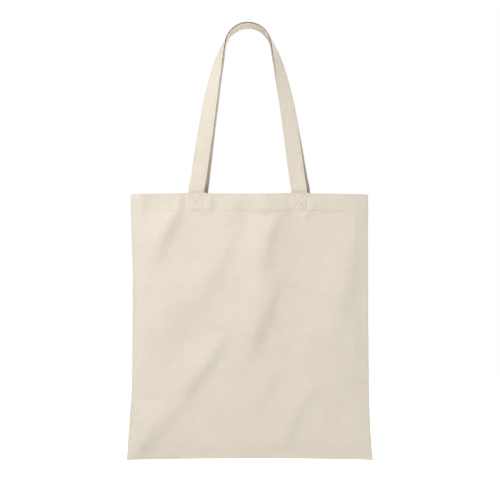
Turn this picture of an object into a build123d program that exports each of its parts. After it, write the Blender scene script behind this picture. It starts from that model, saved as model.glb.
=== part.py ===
from build123d import *
import os
from math import acos, atan2, ceil, cos, degrees, exp, hypot, pi, sin, sqrt

# Canvas tote bag: two hemmed panels sewn together on three sides, and two folded strap handles.
# Millimetres. +Z is up, the front faces -Y, and the origin is the middle of the bottom edge.
# The bag is alike from both sides: each back piece is its front piece turned half round about Z.
# Only the back handle differs, since both handles hang over the same point.
# Left and right in a name are as seen from the piece's own side of the bag.

# Bag
bag_height = 423.0  # bottom edge to mouth
mouth_width = 377.5  # edge to edge, and nearly so down to the flare of the corners
corner_flare = 7.0  # how far each bottom corner stands out past the mouth's edge
flare_rise = 75.0  # height in which the flare of the corners falls by two thirds
belly = 9.0  # how far a panel bows out at mid width
bottom_belly = 0.5  # the same at the bottom seam
belly_rise = 50.0  # height in which the bow grows by two thirds

# Cloth and hem
cloth = 0.8
hem_depth = 30.5
hem_plies = 3
hem_bevel = 0.8  # takes the corners off the fold along the mouth
hem_step = 1.0  # height in which the hem's turned-in edge thickens from one ply to all
mouth_gap = 0.3  # between the two hems at the side seams

# Seams, with two plies turned inside and overcast
side_allowance = 10.0
bottom_allowance = 14.0
overcast_width = 4.0

# Handles
strap_width = 25.0
strap_thickness = 2.4
strap_slit_width = 0.6  # where the folded edges of the strap meet, on the edge inside the loop
strap_slit_depth = 1.5
strap_bevel = 0.6  # the strap's other edge is a fold
handle_spacing = 163.0  # between the middles of the two ends
handle_shift = 3.0  # each handle is sewn this far left of the middle
hang_shift = 3.0  # both arches hang this far left of the middle, seen from the front
handle_drop = 270.0  # mouth to the top of the arch
arch_radius = 36.0
arch_gap = 4.0  # between the two handles where they hang side by side
twist_reach = 95.0  # length in which most of a leg's quarter twist is done
end_gap = 0.5  # from a sewn end to the hem stitching below it

# Sewing thread
thread = 0.25
stitch_width = 0.8
hem_stitch_rise = 2.0  # from the hem's turned-in edge
box_inset = 1.5  # from the strap's edges to the box stitching
edge_inset = 2.5  # from the strap's edges to its top stitching
row_end = 4.0  # a row stops this far from the panel's edges
inside_row_end = 25.0  # and this far inside the bag, where the seams lie

# Clearances
sewn_gap = 0.1  # between pieces that are sewn flat together
fold_gap = 0.3  # round the fold where a handle swings

# Steps up a panel and down a handle's leg. Over 1, the crowding sets the first steps closer.
level_steps = 5
level_crowding = 1.6
leg_steps = 9
leg_crowding = 1.5
leg_end_run = 12.0  # from the last square section to the cut at the mouth

# Worked out from the sizes above
hem_thickness = hem_plies * cloth
hem_bottom = bag_height - hem_depth
hem_row_z = hem_bottom + hem_stitch_rise
seam_half = cloth  # a seam is two plies
wrap_inner = sewn_gap
wrap_outer = sewn_gap + thread  # of the overcasting, from the seam's face
half_strap = strap_width / 2
half_thick = strap_thickness / 2
end_x = handle_spacing / 2
end_top = bag_height - fold_gap
end_length = end_top - end_gap - stitch_width - hem_row_z


def half_width(z):
    """Half the bag's width at a height: straight sides that flare towards the bottom corners."""
    return mouth_width / 2 + corner_flare * exp(-z / flare_rise)


def bow(z):
    """How far a panel's middle stands out from its side edges at a height."""
    return bottom_belly + (belly - bottom_belly) * (1 - exp(-z / belly_rise))


def edge_y(z):
    """Outer face of a panel along its side seams: close on the seams below, held off by the hems above."""
    on_seam = seam_half + wrap_outer + sewn_gap + cloth
    at_hem = hem_thickness + mouth_gap / 2
    return on_seam + (at_hem - on_seam) * min(z / hem_bottom, 1)


def levels(low, high):
    """Heights from low to high, closer together at the bottom, where the bag's shape changes most."""
    return [low + (high - low) * (i / level_steps) ** level_crowding for i in range(level_steps + 1)]


def bow_radius(z):
    return (half_width(z) ** 2 + bow(z) ** 2) / (2 * bow(z))


def outer_y(x, z):
    """The front panel's outer face at a point of the front view."""
    return -edge_y(z) - bow(z) + bow_radius(z) - sqrt(bow_radius(z) ** 2 - x**2)


def hem_turn(x):
    """Angle of the bowed hem to the X axis."""
    return atan2(x, sqrt(bow_radius(bag_height) ** 2 - x**2))


def bowed_strip(z, reach, outer, inner):
    """Sketch a strip that follows the panel's bow, from outer to inner behind its outer face."""
    side = outer_y(reach, z)
    middle = outer_y(0, z)
    with BuildLine() as rim:
        ThreePointArc((-reach, side + outer), (0, middle + outer), (reach, side + outer))
        Line((reach, side + outer), (reach, side + inner))
        ThreePointArc((reach, side + inner), (0, middle + inner), (-reach, side + inner))
        Line((-reach, side + inner), (-reach, side + outer))
    make_face(rim.edges())


# Front panel: one ply below the hem, and the hem's three plies with the fold on top
with BuildPart() as front_panel:
    for level in levels(0, hem_bottom):
        with BuildSketch(Plane.XY.offset(level)):
            bowed_strip(level, half_width(level), 0, cloth)
    loft()
    with BuildSketch(Plane.XY.offset(hem_bottom)):
        bowed_strip(hem_bottom, half_width(hem_bottom), 0, cloth)
    with BuildSketch(Plane.XY.offset(hem_bottom + hem_step)):
        bowed_strip(hem_bottom, half_width(hem_bottom), 0, hem_thickness)
    loft(ruled=True)
    with BuildSketch(Plane.XY.offset(hem_bottom + hem_step)):
        bowed_strip(hem_bottom, half_width(hem_bottom), 0, hem_thickness)
    extrude(amount=hem_depth - hem_step)
    mouth_edges = front_panel.faces().sort_by(Axis.Z)[-1].edges().filter_by(GeomType.CIRCLE)
    chamfer(mouth_edges, length=hem_bevel)

# Hem stitching: a row on each face of the hem
with BuildPart() as front_hem_thread:
    with BuildSketch(Plane.XY.offset(hem_row_z)):
        bowed_strip(hem_row_z, mouth_width / 2 - row_end, -sewn_gap - thread, -sewn_gap)
    extrude(amount=stitch_width)
    with BuildSketch(Plane.XY.offset(hem_row_z)):
        inside = hem_thickness + sewn_gap
        bowed_strip(hem_row_z, mouth_width / 2 - inside_row_end, inside, inside + thread)
    extrude(amount=stitch_width)

# A handle's outline as seen from the front: straight legs that touch a round arch.
# The legs follow the strap's edge inside the loop, which comes to the front as the strap turns.
handle_x = -handle_shift
arch_z = bag_height + handle_drop - arch_radius - half_thick
arch_y = -(arch_gap + strap_width) / 2
arch_rise = arch_z - bag_height

# The strap starts a few degrees turned, along the bowed hem. Both legs take the place of the
# one further from the bag's middle, where the hem lies further back.
foot_turn = hem_turn(end_x + handle_shift)
loop_foot_y = outer_y(end_x + handle_shift, bag_height) + hem_thickness + fold_gap + half_thick


def leg_outline(aside):
    """Lean and length of a leg, from a sewn end so far aside of the arch's middle."""
    foot_x = aside - half_strap
    foot_to_centre = hypot(foot_x, arch_rise)
    lean = acos(arch_radius / foot_to_centre) - atan2(arch_rise, foot_x)
    return lean, sqrt(foot_to_centre**2 - arch_radius**2)


def leg_plane(aside, down):
    """Section plane of a right leg, with x towards the loop's inner edge and z up the strap."""
    lean, leg_length = leg_outline(aside)
    left_over = exp(-leg_length / twist_reach)
    share = (exp(-down / twist_reach) - left_over) / (1 - left_over)
    turn = foot_turn + (pi / 2 - foot_turn) * share
    inward = Vector(-cos(lean), 0, -sin(lean))
    up = Vector(-sin(lean), 0, cos(lean))
    edge_side = inward * cos(turn) + Vector(0, -1, 0) * sin(turn)
    y = loop_foot_y + (arch_y - loop_foot_y) * share
    arch_end = Vector(0, y, arch_z) - inward * arch_radius
    middle = arch_end - up * down - inward * half_strap * cos(turn)
    return Plane(origin=middle, x_dir=edge_side, z_dir=up)


def level_plane(x, y, z, turn, side):
    """Level plane across the strap at the mouth, with x towards the loop's inner edge."""
    edge_side = Vector(cos(turn), sin(turn), 0) * -side
    return Plane(origin=(x, y, z), x_dir=edge_side, z_dir=(0, 0, 1))


def outline_face(outline):
    with BuildLine() as rim:
        Polyline(*outline, close=True)
    make_face(rim.edges())


def right_leg(outline, aside):
    """Carry an outline of the strap's section down a right leg, from the arch to the mouth."""
    run = leg_outline(aside)[1] - leg_end_run
    with BuildPart() as leg:
        for i in range(leg_steps + 1):
            with BuildSketch(leg_plane(aside, run * (i / leg_steps) ** leg_crowding)):
                outline_face(outline)
        with BuildSketch(level_plane(aside, loop_foot_y, bag_height + fold_gap, foot_turn, 1)):
            outline_face(outline)
        loft()
    return leg.part


def handle_run(outline, arch_x):
    """Carry an outline up one leg, over an arch at a place aside of the bag's middle, and down the other leg."""
    right_aside = end_x + handle_x - arch_x
    left_aside = end_x - handle_x + arch_x
    with BuildPart() as run:
        add(right_leg(outline, right_aside))
        add(mirror(right_leg(outline, left_aside), about=Plane.YZ, mode=Mode.PRIVATE))
        with BuildSketch(leg_plane(right_aside, 0)):
            outline_face(outline)
        arch_turn = 180 - degrees(leg_outline(right_aside)[0] + leg_outline(left_aside)[0])
        revolve(axis=Axis((0, arch_y, arch_z), (0, -1, 0)), revolution_arc=arch_turn)
    return run.part.translate((arch_x, 0, 0))


def stitch_row(across, face):
    """Outline of a row of stitching, at a place across the strap and on its front or rear face."""
    near = face * (half_thick + sewn_gap)
    far = face * (half_thick + sewn_gap + thread)
    low = across - stitch_width / 2
    high = across + stitch_width / 2
    return [(low, near), (high, near), (high, far), (low, far)]


strap_outline = [
    (half_strap, half_thick),
    (-half_strap + strap_bevel, half_thick),
    (-half_strap, half_thick - strap_bevel),
    (-half_strap, strap_bevel - half_thick),
    (-half_strap + strap_bevel, -half_thick),
    (half_strap, -half_thick),
    (half_strap, -strap_slit_width / 2),
    (half_strap - strap_slit_depth, 0),
    (half_strap, strap_slit_width / 2),
]

# Handles: the loops that swing, with a row of top stitching along each edge, both made as front ones
loops = {}
for loop_side, arch_x in (("front", -hang_shift), ("back", hang_shift)):
    with BuildPart() as handle:
        add(handle_run(strap_outline, arch_x))
    with BuildPart() as inner_thread:
        for face in (1, -1):
            add(handle_run(stitch_row(half_strap - edge_inset, face), arch_x))
    with BuildPart() as outer_thread:
        for face in (1, -1):
            add(handle_run(stitch_row(edge_inset - half_strap, face), arch_x))
    loops[f"{loop_side}_handle"] = handle
    loops[f"{loop_side}_handle_inner_thread"] = inner_thread
    loops[f"{loop_side}_handle_outer_thread"] = outer_thread

# The handle's two ends, sewn to the inside of the hem with a square of stitching and a cross.
# The stitches show on the outside of the hem and on the strap's end inside.
box_width = strap_width - 2 * box_inset
box_height = end_length - 2 * box_inset
box_diagonal = hypot(box_width, box_height) - 2 * stitch_width
box_slope = degrees(atan2(box_height, box_width))


def box_stitches(x, behind_face, facing):
    """Stitch a box along the hem, some way behind its outer face, facing out of the bag or into it."""
    turn = hem_turn(x)
    out = Vector(sin(turn), -cos(turn), 0)
    along = Vector(cos(turn), sin(turn), 0)
    on_face = Vector(x, outer_y(x, bag_height), end_top - end_length / 2)
    plane = Plane(origin=on_face - out * behind_face, x_dir=along * facing, z_dir=out * facing)
    with BuildSketch(plane) as boxed:
        Rectangle(box_width, box_height)
        Rectangle(box_width - 2 * stitch_width, box_height - 2 * stitch_width, mode=Mode.SUBTRACT)
        for slope in (box_slope, -box_slope):
            Rectangle(box_diagonal, stitch_width, rotation=slope)
    extrude(boxed.sketch, amount=thread)


end_pieces = {}
for side_name, side in (("right", 1), ("left", -1)):
    sewn_x = handle_x + side * end_x
    sewn_y = outer_y(sewn_x, bag_height) + hem_thickness + sewn_gap + half_thick
    with BuildPart() as sewn_end:
        with BuildSketch(level_plane(sewn_x, sewn_y, end_top, hem_turn(sewn_x), side)):
            outline_face(strap_outline)
        extrude(amount=-end_length)
    with BuildPart() as box_thread:
        box_stitches(sewn_x, -sewn_gap, 1)
        box_stitches(sewn_x, hem_thickness + 2 * sewn_gap + strap_thickness, -1)
    end_pieces[f"front_handle_{side_name}_end"] = sewn_end
    end_pieces[f"front_{side_name}_box_thread"] = box_thread

# Seams: the two panels' edges turned inside, two plies thick, in one upright plane
seam_top = hem_bottom - fold_gap
side_start = bottom_allowance + sewn_gap


def seam_strip(outline, half, mode=Mode.ADD):
    with BuildSketch(Plane.XZ) as strip:
        outline_face(outline)
    extrude(strip.sketch, amount=half, both=True, mode=mode)


def side_band(low, high, outer, inner):
    """Outline along the right side, between two distances in from the edge."""
    heights = levels(low, high)
    out_side = [(half_width(z) - outer, z) for z in heights]
    in_side = [(half_width(z) - inner, z) for z in reversed(heights)]
    return out_side + in_side


with BuildPart() as right_side_seam:
    seam_strip(side_band(side_start, seam_top, 0, side_allowance), seam_half)

with BuildPart() as bottom_seam:
    low_half = half_width(0)
    high_half = half_width(bottom_allowance)
    bottom_band = [(-low_half, 0), (low_half, 0), (high_half, bottom_allowance), (-high_half, bottom_allowance)]
    seam_strip(bottom_band, seam_half)

# Overcasting: thread wrapped round the raw edges of each seam
with BuildPart() as right_overcast_thread:
    wrap_low = side_start + overcast_width
    wrap_high = seam_top - fold_gap
    edge_in = side_allowance - overcast_width
    wrapped = side_band(wrap_low, wrap_high, edge_in, side_allowance + wrap_outer)
    seam_strip(wrapped, seam_half + wrap_outer)
    seam_room = side_band(wrap_low, wrap_high, edge_in, side_allowance + wrap_inner)
    seam_strip(seam_room, seam_half + wrap_inner, mode=Mode.SUBTRACT)

with BuildPart() as bottom_overcast_thread:
    wrap_half = half_width(bottom_allowance) - side_allowance - overcast_width
    wrap_length = 2 * wrap_half
    wrap_base = bottom_allowance - overcast_width
    with BuildSketch(Plane.XZ):
        with Locations((0, wrap_base)):
            Rectangle(wrap_length, overcast_width + wrap_outer, align=(Align.CENTER, Align.MIN))
    extrude(amount=seam_half + wrap_outer, both=True)
    with BuildSketch(Plane.XZ):
        with Locations((0, wrap_base)):
            Rectangle(wrap_length, overcast_width + wrap_inner, align=(Align.CENTER, Align.MIN))
    extrude(amount=seam_half + wrap_inner, both=True, mode=Mode.SUBTRACT)

# The seams' left halves mirror the right ones
with BuildPart() as left_side_seam:
    add(mirror(right_side_seam.part, about=Plane.YZ, mode=Mode.PRIVATE))

with BuildPart() as left_overcast_thread:
    add(mirror(right_overcast_thread.part, about=Plane.YZ, mode=Mode.PRIVATE))

seams = {
    "right_side_seam": right_side_seam,
    "left_side_seam": left_side_seam,
    "bottom_seam": bottom_seam,
    "right_overcast_thread": right_overcast_thread,
    "left_overcast_thread": left_overcast_thread,
    "bottom_overcast_thread": bottom_overcast_thread,
}
front_side = {
    "front_panel": front_panel,
    "front_hem_thread": front_hem_thread,
} | end_pieces

os.makedirs("parts", exist_ok=True)


def write_piece(name, part):
    part.label = name
    export_step(part, f"parts/{name}.step")
    print(f"{name}: {len(part.solids())} solids, {part.volume:.0f} mm3")


def turned_round(piece):
    with BuildPart() as turned:
        add(piece.part.rotate(Axis.Z, 180))
    return turned.part


for name, piece in (seams | front_side).items():
    write_piece(name, piece.part)

for name, piece in front_side.items():
    write_piece(name.replace("front", "back"), turned_round(piece))

for name, piece in loops.items():
    write_piece(name, piece.part if name.startswith("front") else turned_round(piece))

# The fold that a handle swings about lies between the hem's outer face and the strap,
# at the strap's edge inside the loop, where the bowed hem stands furthest out.
# It is far enough forward for the rows of thread to pass each other.
fold_x = end_x - handle_shift - half_strap
strap_face_y = loop_foot_y - half_thick - half_strap * sin(foot_turn)
fold_y = (outer_y(fold_x, bag_height) + strap_face_y - fold_gap) / 2 - sewn_gap - thread
lean, leg_length = leg_outline(end_x)
strap_length = 2 * leg_length + arch_radius * (pi - 2 * lean) + 2 * end_length
print(f"handle fold at y {fold_y:.2f}, z {bag_height:.2f}; front legs lean {degrees(lean):.1f} degrees")
print(f"panel hinge at y {-(edge_y(0) - cloth / 2):.2f}; strap about {ceil(strap_length)} mm long")
print(f"arch underside at z {arch_z + arch_radius - half_thick:.2f}, y {arch_y:.2f}")
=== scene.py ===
# %% [markdown]
# # A canvas tote bag, hung by its handles
# The frame holds the bag as it is put together: two panels, two straps and every row of thread, at
# their real sizes. This lesson gives each of them its looks. The panels become thin cloth with folds,
# and the thread becomes single stitches. The box stitches and the inside seams hang on empties, one for
# each body of the frame they belong to.

# %% Load the frame
import math

import bpy
import numpy as np
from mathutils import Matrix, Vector, noise


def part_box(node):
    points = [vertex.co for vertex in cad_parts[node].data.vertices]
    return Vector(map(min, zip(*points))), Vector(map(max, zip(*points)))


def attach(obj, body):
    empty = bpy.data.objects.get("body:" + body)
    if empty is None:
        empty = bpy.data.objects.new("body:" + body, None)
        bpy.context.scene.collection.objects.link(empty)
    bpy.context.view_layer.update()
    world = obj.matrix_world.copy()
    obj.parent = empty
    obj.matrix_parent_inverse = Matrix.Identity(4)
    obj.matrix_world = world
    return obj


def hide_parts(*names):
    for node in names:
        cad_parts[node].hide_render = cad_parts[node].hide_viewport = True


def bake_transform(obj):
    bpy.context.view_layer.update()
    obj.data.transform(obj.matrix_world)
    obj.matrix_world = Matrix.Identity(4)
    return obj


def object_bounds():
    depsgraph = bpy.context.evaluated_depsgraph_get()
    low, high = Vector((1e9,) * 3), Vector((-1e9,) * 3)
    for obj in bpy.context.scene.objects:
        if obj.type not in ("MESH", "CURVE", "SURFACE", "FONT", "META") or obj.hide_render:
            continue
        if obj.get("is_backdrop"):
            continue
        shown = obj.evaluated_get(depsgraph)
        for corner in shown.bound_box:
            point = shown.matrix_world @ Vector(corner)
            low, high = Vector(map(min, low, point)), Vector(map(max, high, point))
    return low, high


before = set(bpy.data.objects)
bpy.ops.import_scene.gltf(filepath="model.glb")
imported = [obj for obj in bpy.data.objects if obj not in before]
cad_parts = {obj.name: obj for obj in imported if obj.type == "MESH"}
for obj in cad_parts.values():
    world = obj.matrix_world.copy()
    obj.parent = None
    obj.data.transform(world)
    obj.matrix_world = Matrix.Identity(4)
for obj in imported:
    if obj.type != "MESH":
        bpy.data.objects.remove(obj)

mm = 0.001
cad_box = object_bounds()
print("size in mm:", [round((high - low) / mm) for low, high in zip(*cad_box)])

# %% [markdown]
# ## The camera
# The bag was seen square from the front, from about the middle of its height. A long lens far away and
# a short lens close by can frame it alike, but only the long one keeps the two handles in line, as they
# are here. So the distance is chosen first, and the lens follows from how much of the world one picture
# spans at the bag's front.

# %% Camera
picture_pixels = 500
pixel_size = 1.583 * mm  # what one pixel spans at the bag's front
eye_height = 333.5 * mm
eye_side = 0.8 * mm  # the camera stood a hair to the right
eye_distance = 2.0
sensor_width = 36.0  # millimetres, as Blender gives lenses

front_face_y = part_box("front_panel")[0].y
camera_data = bpy.data.cameras.new("camera")
camera_data.sensor_width = sensor_width
camera_data.lens = sensor_width * eye_distance / (picture_pixels * pixel_size)
camera = bpy.data.objects.new("camera", camera_data)
camera.location = (eye_side, front_face_y - eye_distance, eye_height)
camera.rotation_euler = (math.radians(90), 0, 0)
bpy.context.scene.collection.objects.link(camera)
bpy.context.scene.camera = camera
bpy.context.scene.view_settings.view_transform = "Standard"
print(f"lens {camera_data.lens:.1f} mm, {eye_distance:.1f} m from the bag")

# %% [markdown]
# ## Studio light
# Folds in pale cloth are only a few millimetres deep. They show because the light comes from one side:
# a slope that turns away from it goes a little grey. A large lamp high on the left does that without
# hard shadows. Weaker lamps fill the right side and light the back, and a low one behind the bag reaches
# the undersides of the arches. The world fills the rest. A small helper turns each lamp to face the bag.

# %% Lamps
bag_middle = Vector((0, 0, 0.3))


def add_lamp(name, place, width, power):
    """Hang a square soft box at a place, facing the middle of the bag."""
    lamp_data = bpy.data.lights.new(name, "AREA")
    lamp_data.size = width
    lamp_data.energy = power
    lamp = bpy.data.objects.new(name, lamp_data)
    lamp.location = place
    lamp.rotation_euler = (bag_middle - Vector(place)).to_track_quat("-Z", "Y").to_euler()
    bpy.context.scene.collection.objects.link(lamp)


add_lamp("key_lamp", (-0.95, -1.25, 1.5), 0.7, 27.5)
add_lamp("fill_lamp", (1.9, -1.0, 0.8), 1.4, 7.5)
add_lamp("side_lamp", (1.7, 0.3, 1.2), 0.8, 11)
add_lamp("back_lamp", (1.2, 2.0, 1.5), 1.2, 21)
add_lamp("low_lamp", (0.3, 1.9, 0.15), 1.0, 10)

# %% [markdown]
# ## White all round
# The background is plain white. Light Path tells which kind of ray is asking: the camera sees white,
# while the rays that light the cloth get a dimmer grey. Mirrors and glass would need to see the white as
# well, so their rays are counted with the camera's.

# %% World
world_light = 0.3  # strength of the fill from all sides


def feed(tree, socket, value):
    """Set an input to a value, or link it to another node's output."""
    if isinstance(value, bpy.types.NodeSocket):
        tree.links.new(value, socket)
    else:
        socket.default_value = value


def add_math(tree, operation, *values):
    """A Math node, whose inputs are numbers or other nodes' outputs."""
    node = tree.nodes.new("ShaderNodeMath")
    node.operation = operation
    for socket, value in zip(node.inputs, values):
        feed(tree, socket, value)
    return node.outputs[0]


def seen_directly(tree):
    """1 for rays that show the background itself, 0 for rays that only gather light."""
    path = tree.nodes.new("ShaderNodeLightPath")
    seen = add_math(tree, "MAXIMUM", path.outputs["Is Camera Ray"], path.outputs["Is Glossy Ray"])
    return add_math(tree, "MAXIMUM", seen, path.outputs["Is Transmission Ray"])


world = bpy.data.worlds.new("white_studio")
world.use_nodes = True
bpy.context.scene.world = world
tree = world.node_tree
tree.nodes.clear()
shown = tree.nodes.new("ShaderNodeBackground")
shown.inputs["Color"].default_value = (1, 1, 1, 1)
lighting = tree.nodes.new("ShaderNodeBackground")
lighting.inputs["Color"].default_value = (1, 1, 1, 1)
lighting.inputs["Strength"].default_value = world_light
either = tree.nodes.new("ShaderNodeMixShader")
tree.links.new(seen_directly(tree), either.inputs[0])
tree.links.new(lighting.outputs[0], either.inputs[1])
tree.links.new(shown.outputs[0], either.inputs[2])
tree.links.new(either.outputs[0], tree.nodes.new("ShaderNodeOutputWorld").inputs["Surface"])
print("world fill", world_light)

# %% [markdown]
# ## The floor
# The bag hangs, so the floor lies well below it. Its own colour catches the bag's soft shadow, and a
# little extra brightness for directly seen rays takes the rest of it to white.

# %% Floor
floor_z = -0.28
floor_half = 4.0
floor_lift = 0.78  # brightness added where the floor is seen
floor_grey = (0.92, 0.92, 0.92, 1)

floor_mesh = bpy.data.meshes.new("floor")
corners = [(x * floor_half, y * floor_half) for x, y in ((-1, -1), (1, -1), (1, 1), (-1, 1))]
floor_mesh.from_pydata([(x, y, floor_z) for x, y in corners], [], [(0, 1, 2, 3)])
floor = bpy.data.objects.new("floor", floor_mesh)
bpy.context.scene.collection.objects.link(floor)
paper = bpy.data.materials.new("white_paper")
paper.use_nodes = True
tree = paper.node_tree
tree.nodes.clear()
matt = tree.nodes.new("ShaderNodeBsdfDiffuse")
matt.inputs["Color"].default_value = floor_grey
glow = tree.nodes.new("ShaderNodeEmission")
tree.links.new(add_math(tree, "MULTIPLY", seen_directly(tree), floor_lift), glow.inputs["Strength"])
both = tree.nodes.new("ShaderNodeAddShader")
tree.links.new(matt.outputs[0], both.inputs[0])
tree.links.new(glow.outputs[0], both.inputs[1])
tree.links.new(both.outputs[0], tree.nodes.new("ShaderNodeOutputMaterial").inputs["Surface"])
floor_mesh.materials.append(paper)
floor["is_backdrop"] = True
print(f"floor {-floor_z:.2f} m below the bag")

# %% [markdown]
# ## Canvas: the weave
# Canvas is a plain weave: each yarn goes over one and under the next. A picture of it would be a lot of
# pixels, but two sine waves are enough: one crosses the yarns that run up, one those that run across,
# and the sign of their product says which of the two lies on top. Every cloth mesh below carries a
# point attribute named cloth, its place on the flat cloth in metres, so the yarns follow each fold.
# The weave is a node group, because panels, straps and seams all use it.

# %% Node group: plain weave
yarn_drift = 2.0  # how far the yarns wander, in pitches
drift_bumps = {"X": (70, 45, 1), "Y": (45, 70, 2)}  # of that wandering, per metre
crossing = 1.5  # how sharply one yarn goes under the next
place_input = ("Cloth", "NodeSocketVector", (0, 0, 0))
pitch_input = ("Pitch", "NodeSocketFloat", 1 * mm)


def new_group(name, inputs, outputs):
    """An empty shader node group with named sockets, given as (label, socket type, default)."""
    group = bpy.data.node_groups.new(name, "ShaderNodeTree")
    for label, kind, default in inputs:
        group.interface.new_socket(name=label, in_out="INPUT", socket_type=kind).default_value = default
    for label in outputs:
        group.interface.new_socket(name=label, in_out="OUTPUT", socket_type="NodeSocketFloat")
    return group, group.nodes.new("NodeGroupInput"), group.nodes.new("NodeGroupOutput")


def add_noise(tree, place, stretch, detail=2.0):
    """A Noise texture over a place on the cloth, with its bumps per metre given for each direction."""
    scaled = tree.nodes.new("ShaderNodeVectorMath")
    scaled.operation = "MULTIPLY"
    tree.links.new(place, scaled.inputs[0])
    scaled.inputs[1].default_value = stretch
    texture = tree.nodes.new("ShaderNodeTexNoise")
    texture.inputs["Scale"].default_value = 1.0
    texture.inputs["Detail"].default_value = detail
    tree.links.new(scaled.outputs[0], texture.inputs["Vector"])
    return texture.outputs["Fac"]


weave, start, end = new_group("plain_weave", [place_input, pitch_input], ["Height"])
split = weave.nodes.new("ShaderNodeSeparateXYZ")
weave.links.new(start.outputs["Cloth"], split.inputs[0])
waves = []
for axis, stretch in drift_bumps.items():
    count = add_math(weave, "DIVIDE", split.outputs[axis], start.outputs["Pitch"])
    drift = add_math(weave, "MULTIPLY", add_noise(weave, start.outputs["Cloth"], stretch), yarn_drift)
    turns = add_math(weave, "MULTIPLY", add_math(weave, "ADD", count, drift), math.pi)
    waves.append(add_math(weave, "SINE", turns))
on_top = add_math(weave, "MULTIPLY", add_math(weave, "MULTIPLY", *waves), crossing)
yarns = []
for wave, sign in ((waves[0], 1), (waves[1], -1)):
    share = add_math(weave, "MULTIPLY_ADD", on_top, 0.5 * sign, 0.5)
    share = add_math(weave, "MINIMUM", add_math(weave, "MAXIMUM", share, 0), 1)
    yarns.append(add_math(weave, "MULTIPLY", add_math(weave, "ABSOLUTE", wave), share))
weave.links.new(add_math(weave, "MAXIMUM", *yarns), end.inputs["Height"])
print("plain weave:", len(weave.nodes), "nodes")

# %% [markdown]
# ## Canvas: uneven yarn
# Unbleached cotton is spun a little unevenly. Thick places run along single yarns, up or across, and
# show as short streaks. Noise that is stretched far in one direction gives such streaks. The same group
# adds the slow cloudiness of the whole cloth.

# %% Node group: uneven yarn
streak_narrow = 560  # bumps per metre across a yarn
streak_long = 75  # and along it
cloud_bumps = (22, 22, 1)
streak_tone = 0.7
cloud_tone = 0.6

slubs, start, end = new_group("uneven_yarn", [place_input], ["Tone", "Height"])
streaks_up = add_noise(slubs, start.outputs["Cloth"], (streak_narrow, streak_long, 1))
streaks_across = add_noise(slubs, start.outputs["Cloth"], (streak_long, streak_narrow, 1))
clouds = add_noise(slubs, start.outputs["Cloth"], cloud_bumps, detail=3.0)
streaks = add_math(slubs, "ADD", streaks_up, streaks_across)
cloudy = add_math(slubs, "MULTIPLY", clouds, cloud_tone)
tone = add_math(slubs, "MULTIPLY_ADD", streaks, streak_tone, cloudy)
slubs.links.new(add_math(slubs, "SUBTRACT", tone, 0.5), end.inputs["Tone"])
slubs.links.new(streaks, end.inputs["Height"])
print("uneven yarn:", len(slubs.nodes), "nodes")

# %% [markdown]
# ## Canvas: seed flecks
# Bits of cotton seed stay in cloth that was never bleached. They are tiny brown specks, few and far
# between. A Voronoi texture scatters one point in each cell, and a second reading of the cell's random
# colour keeps only a few of them.

# %% Node group: seed flecks
fleck_cells = 130  # per metre
fleck_share = 0.2  # of the cells keep their fleck

flecks, start, end = new_group("seed_flecks", [place_input, ("Size", "NodeSocketFloat", 0.06)], ["Mask"])
cells = flecks.nodes.new("ShaderNodeTexVoronoi")
cells.inputs["Scale"].default_value = fleck_cells
flecks.links.new(start.outputs["Cloth"], cells.inputs["Vector"])
pick = flecks.nodes.new("ShaderNodeSeparateColor")
flecks.links.new(cells.outputs["Color"], pick.inputs[0])
near = add_math(flecks, "LESS_THAN", cells.outputs["Distance"], start.outputs["Size"])
few = add_math(flecks, "GREATER_THAN", pick.outputs[0], 1 - fleck_share)
flecks.links.new(add_math(flecks, "MULTIPLY", near, few), end.inputs["Mask"])
print("seed flecks:", len(flecks.nodes), "nodes")

# %% [markdown]
# ## Helpers for materials
# A material is a small graph of nodes. These helpers add one node each and return the output that goes on
# to the next, so that a material reads like a recipe.

# %% Material helpers
def add_node_group(tree, group, **values):
    node = tree.nodes.new("ShaderNodeGroup")
    node.node_tree = group
    for label, value in values.items():
        feed(tree, node.inputs[label], value)
    return node


def add_mix(tree, share, first, second):
    """A colour mix; either colour can be a value or another node's output."""
    node = tree.nodes.new("ShaderNodeMix")
    node.data_type = "RGBA"
    for index, value in ((0, share), (6, first), (7, second)):
        feed(tree, node.inputs[index], value)
    return node.outputs[2]


def add_attribute(tree, name):
    node = tree.nodes.new("ShaderNodeAttribute")
    node.attribute_name = name
    return node


def add_range(tree, value, low, high):
    """Spread a value from 0 to 1 over another range."""
    node = tree.nodes.new("ShaderNodeMapRange")
    tree.links.new(value, node.inputs["Value"])
    node.inputs["To Min"].default_value = low
    node.inputs["To Max"].default_value = high
    return node.outputs["Result"]


def add_bump(tree, height, depth, below=None):
    node = tree.nodes.new("ShaderNodeBump")
    node.inputs["Strength"].default_value = 1.0
    node.inputs["Distance"].default_value = depth
    tree.links.new(height, node.inputs["Height"])
    if below is not None:
        tree.links.new(below, node.inputs["Normal"])
    return node.outputs["Normal"]


def new_material(name):
    material = bpy.data.materials.new(name)
    material.use_nodes = True
    return material, material.node_tree, material.node_tree.nodes["Principled BSDF"]


print("node groups ready:", ", ".join(group.name for group in (weave, slubs, flecks)))
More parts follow.
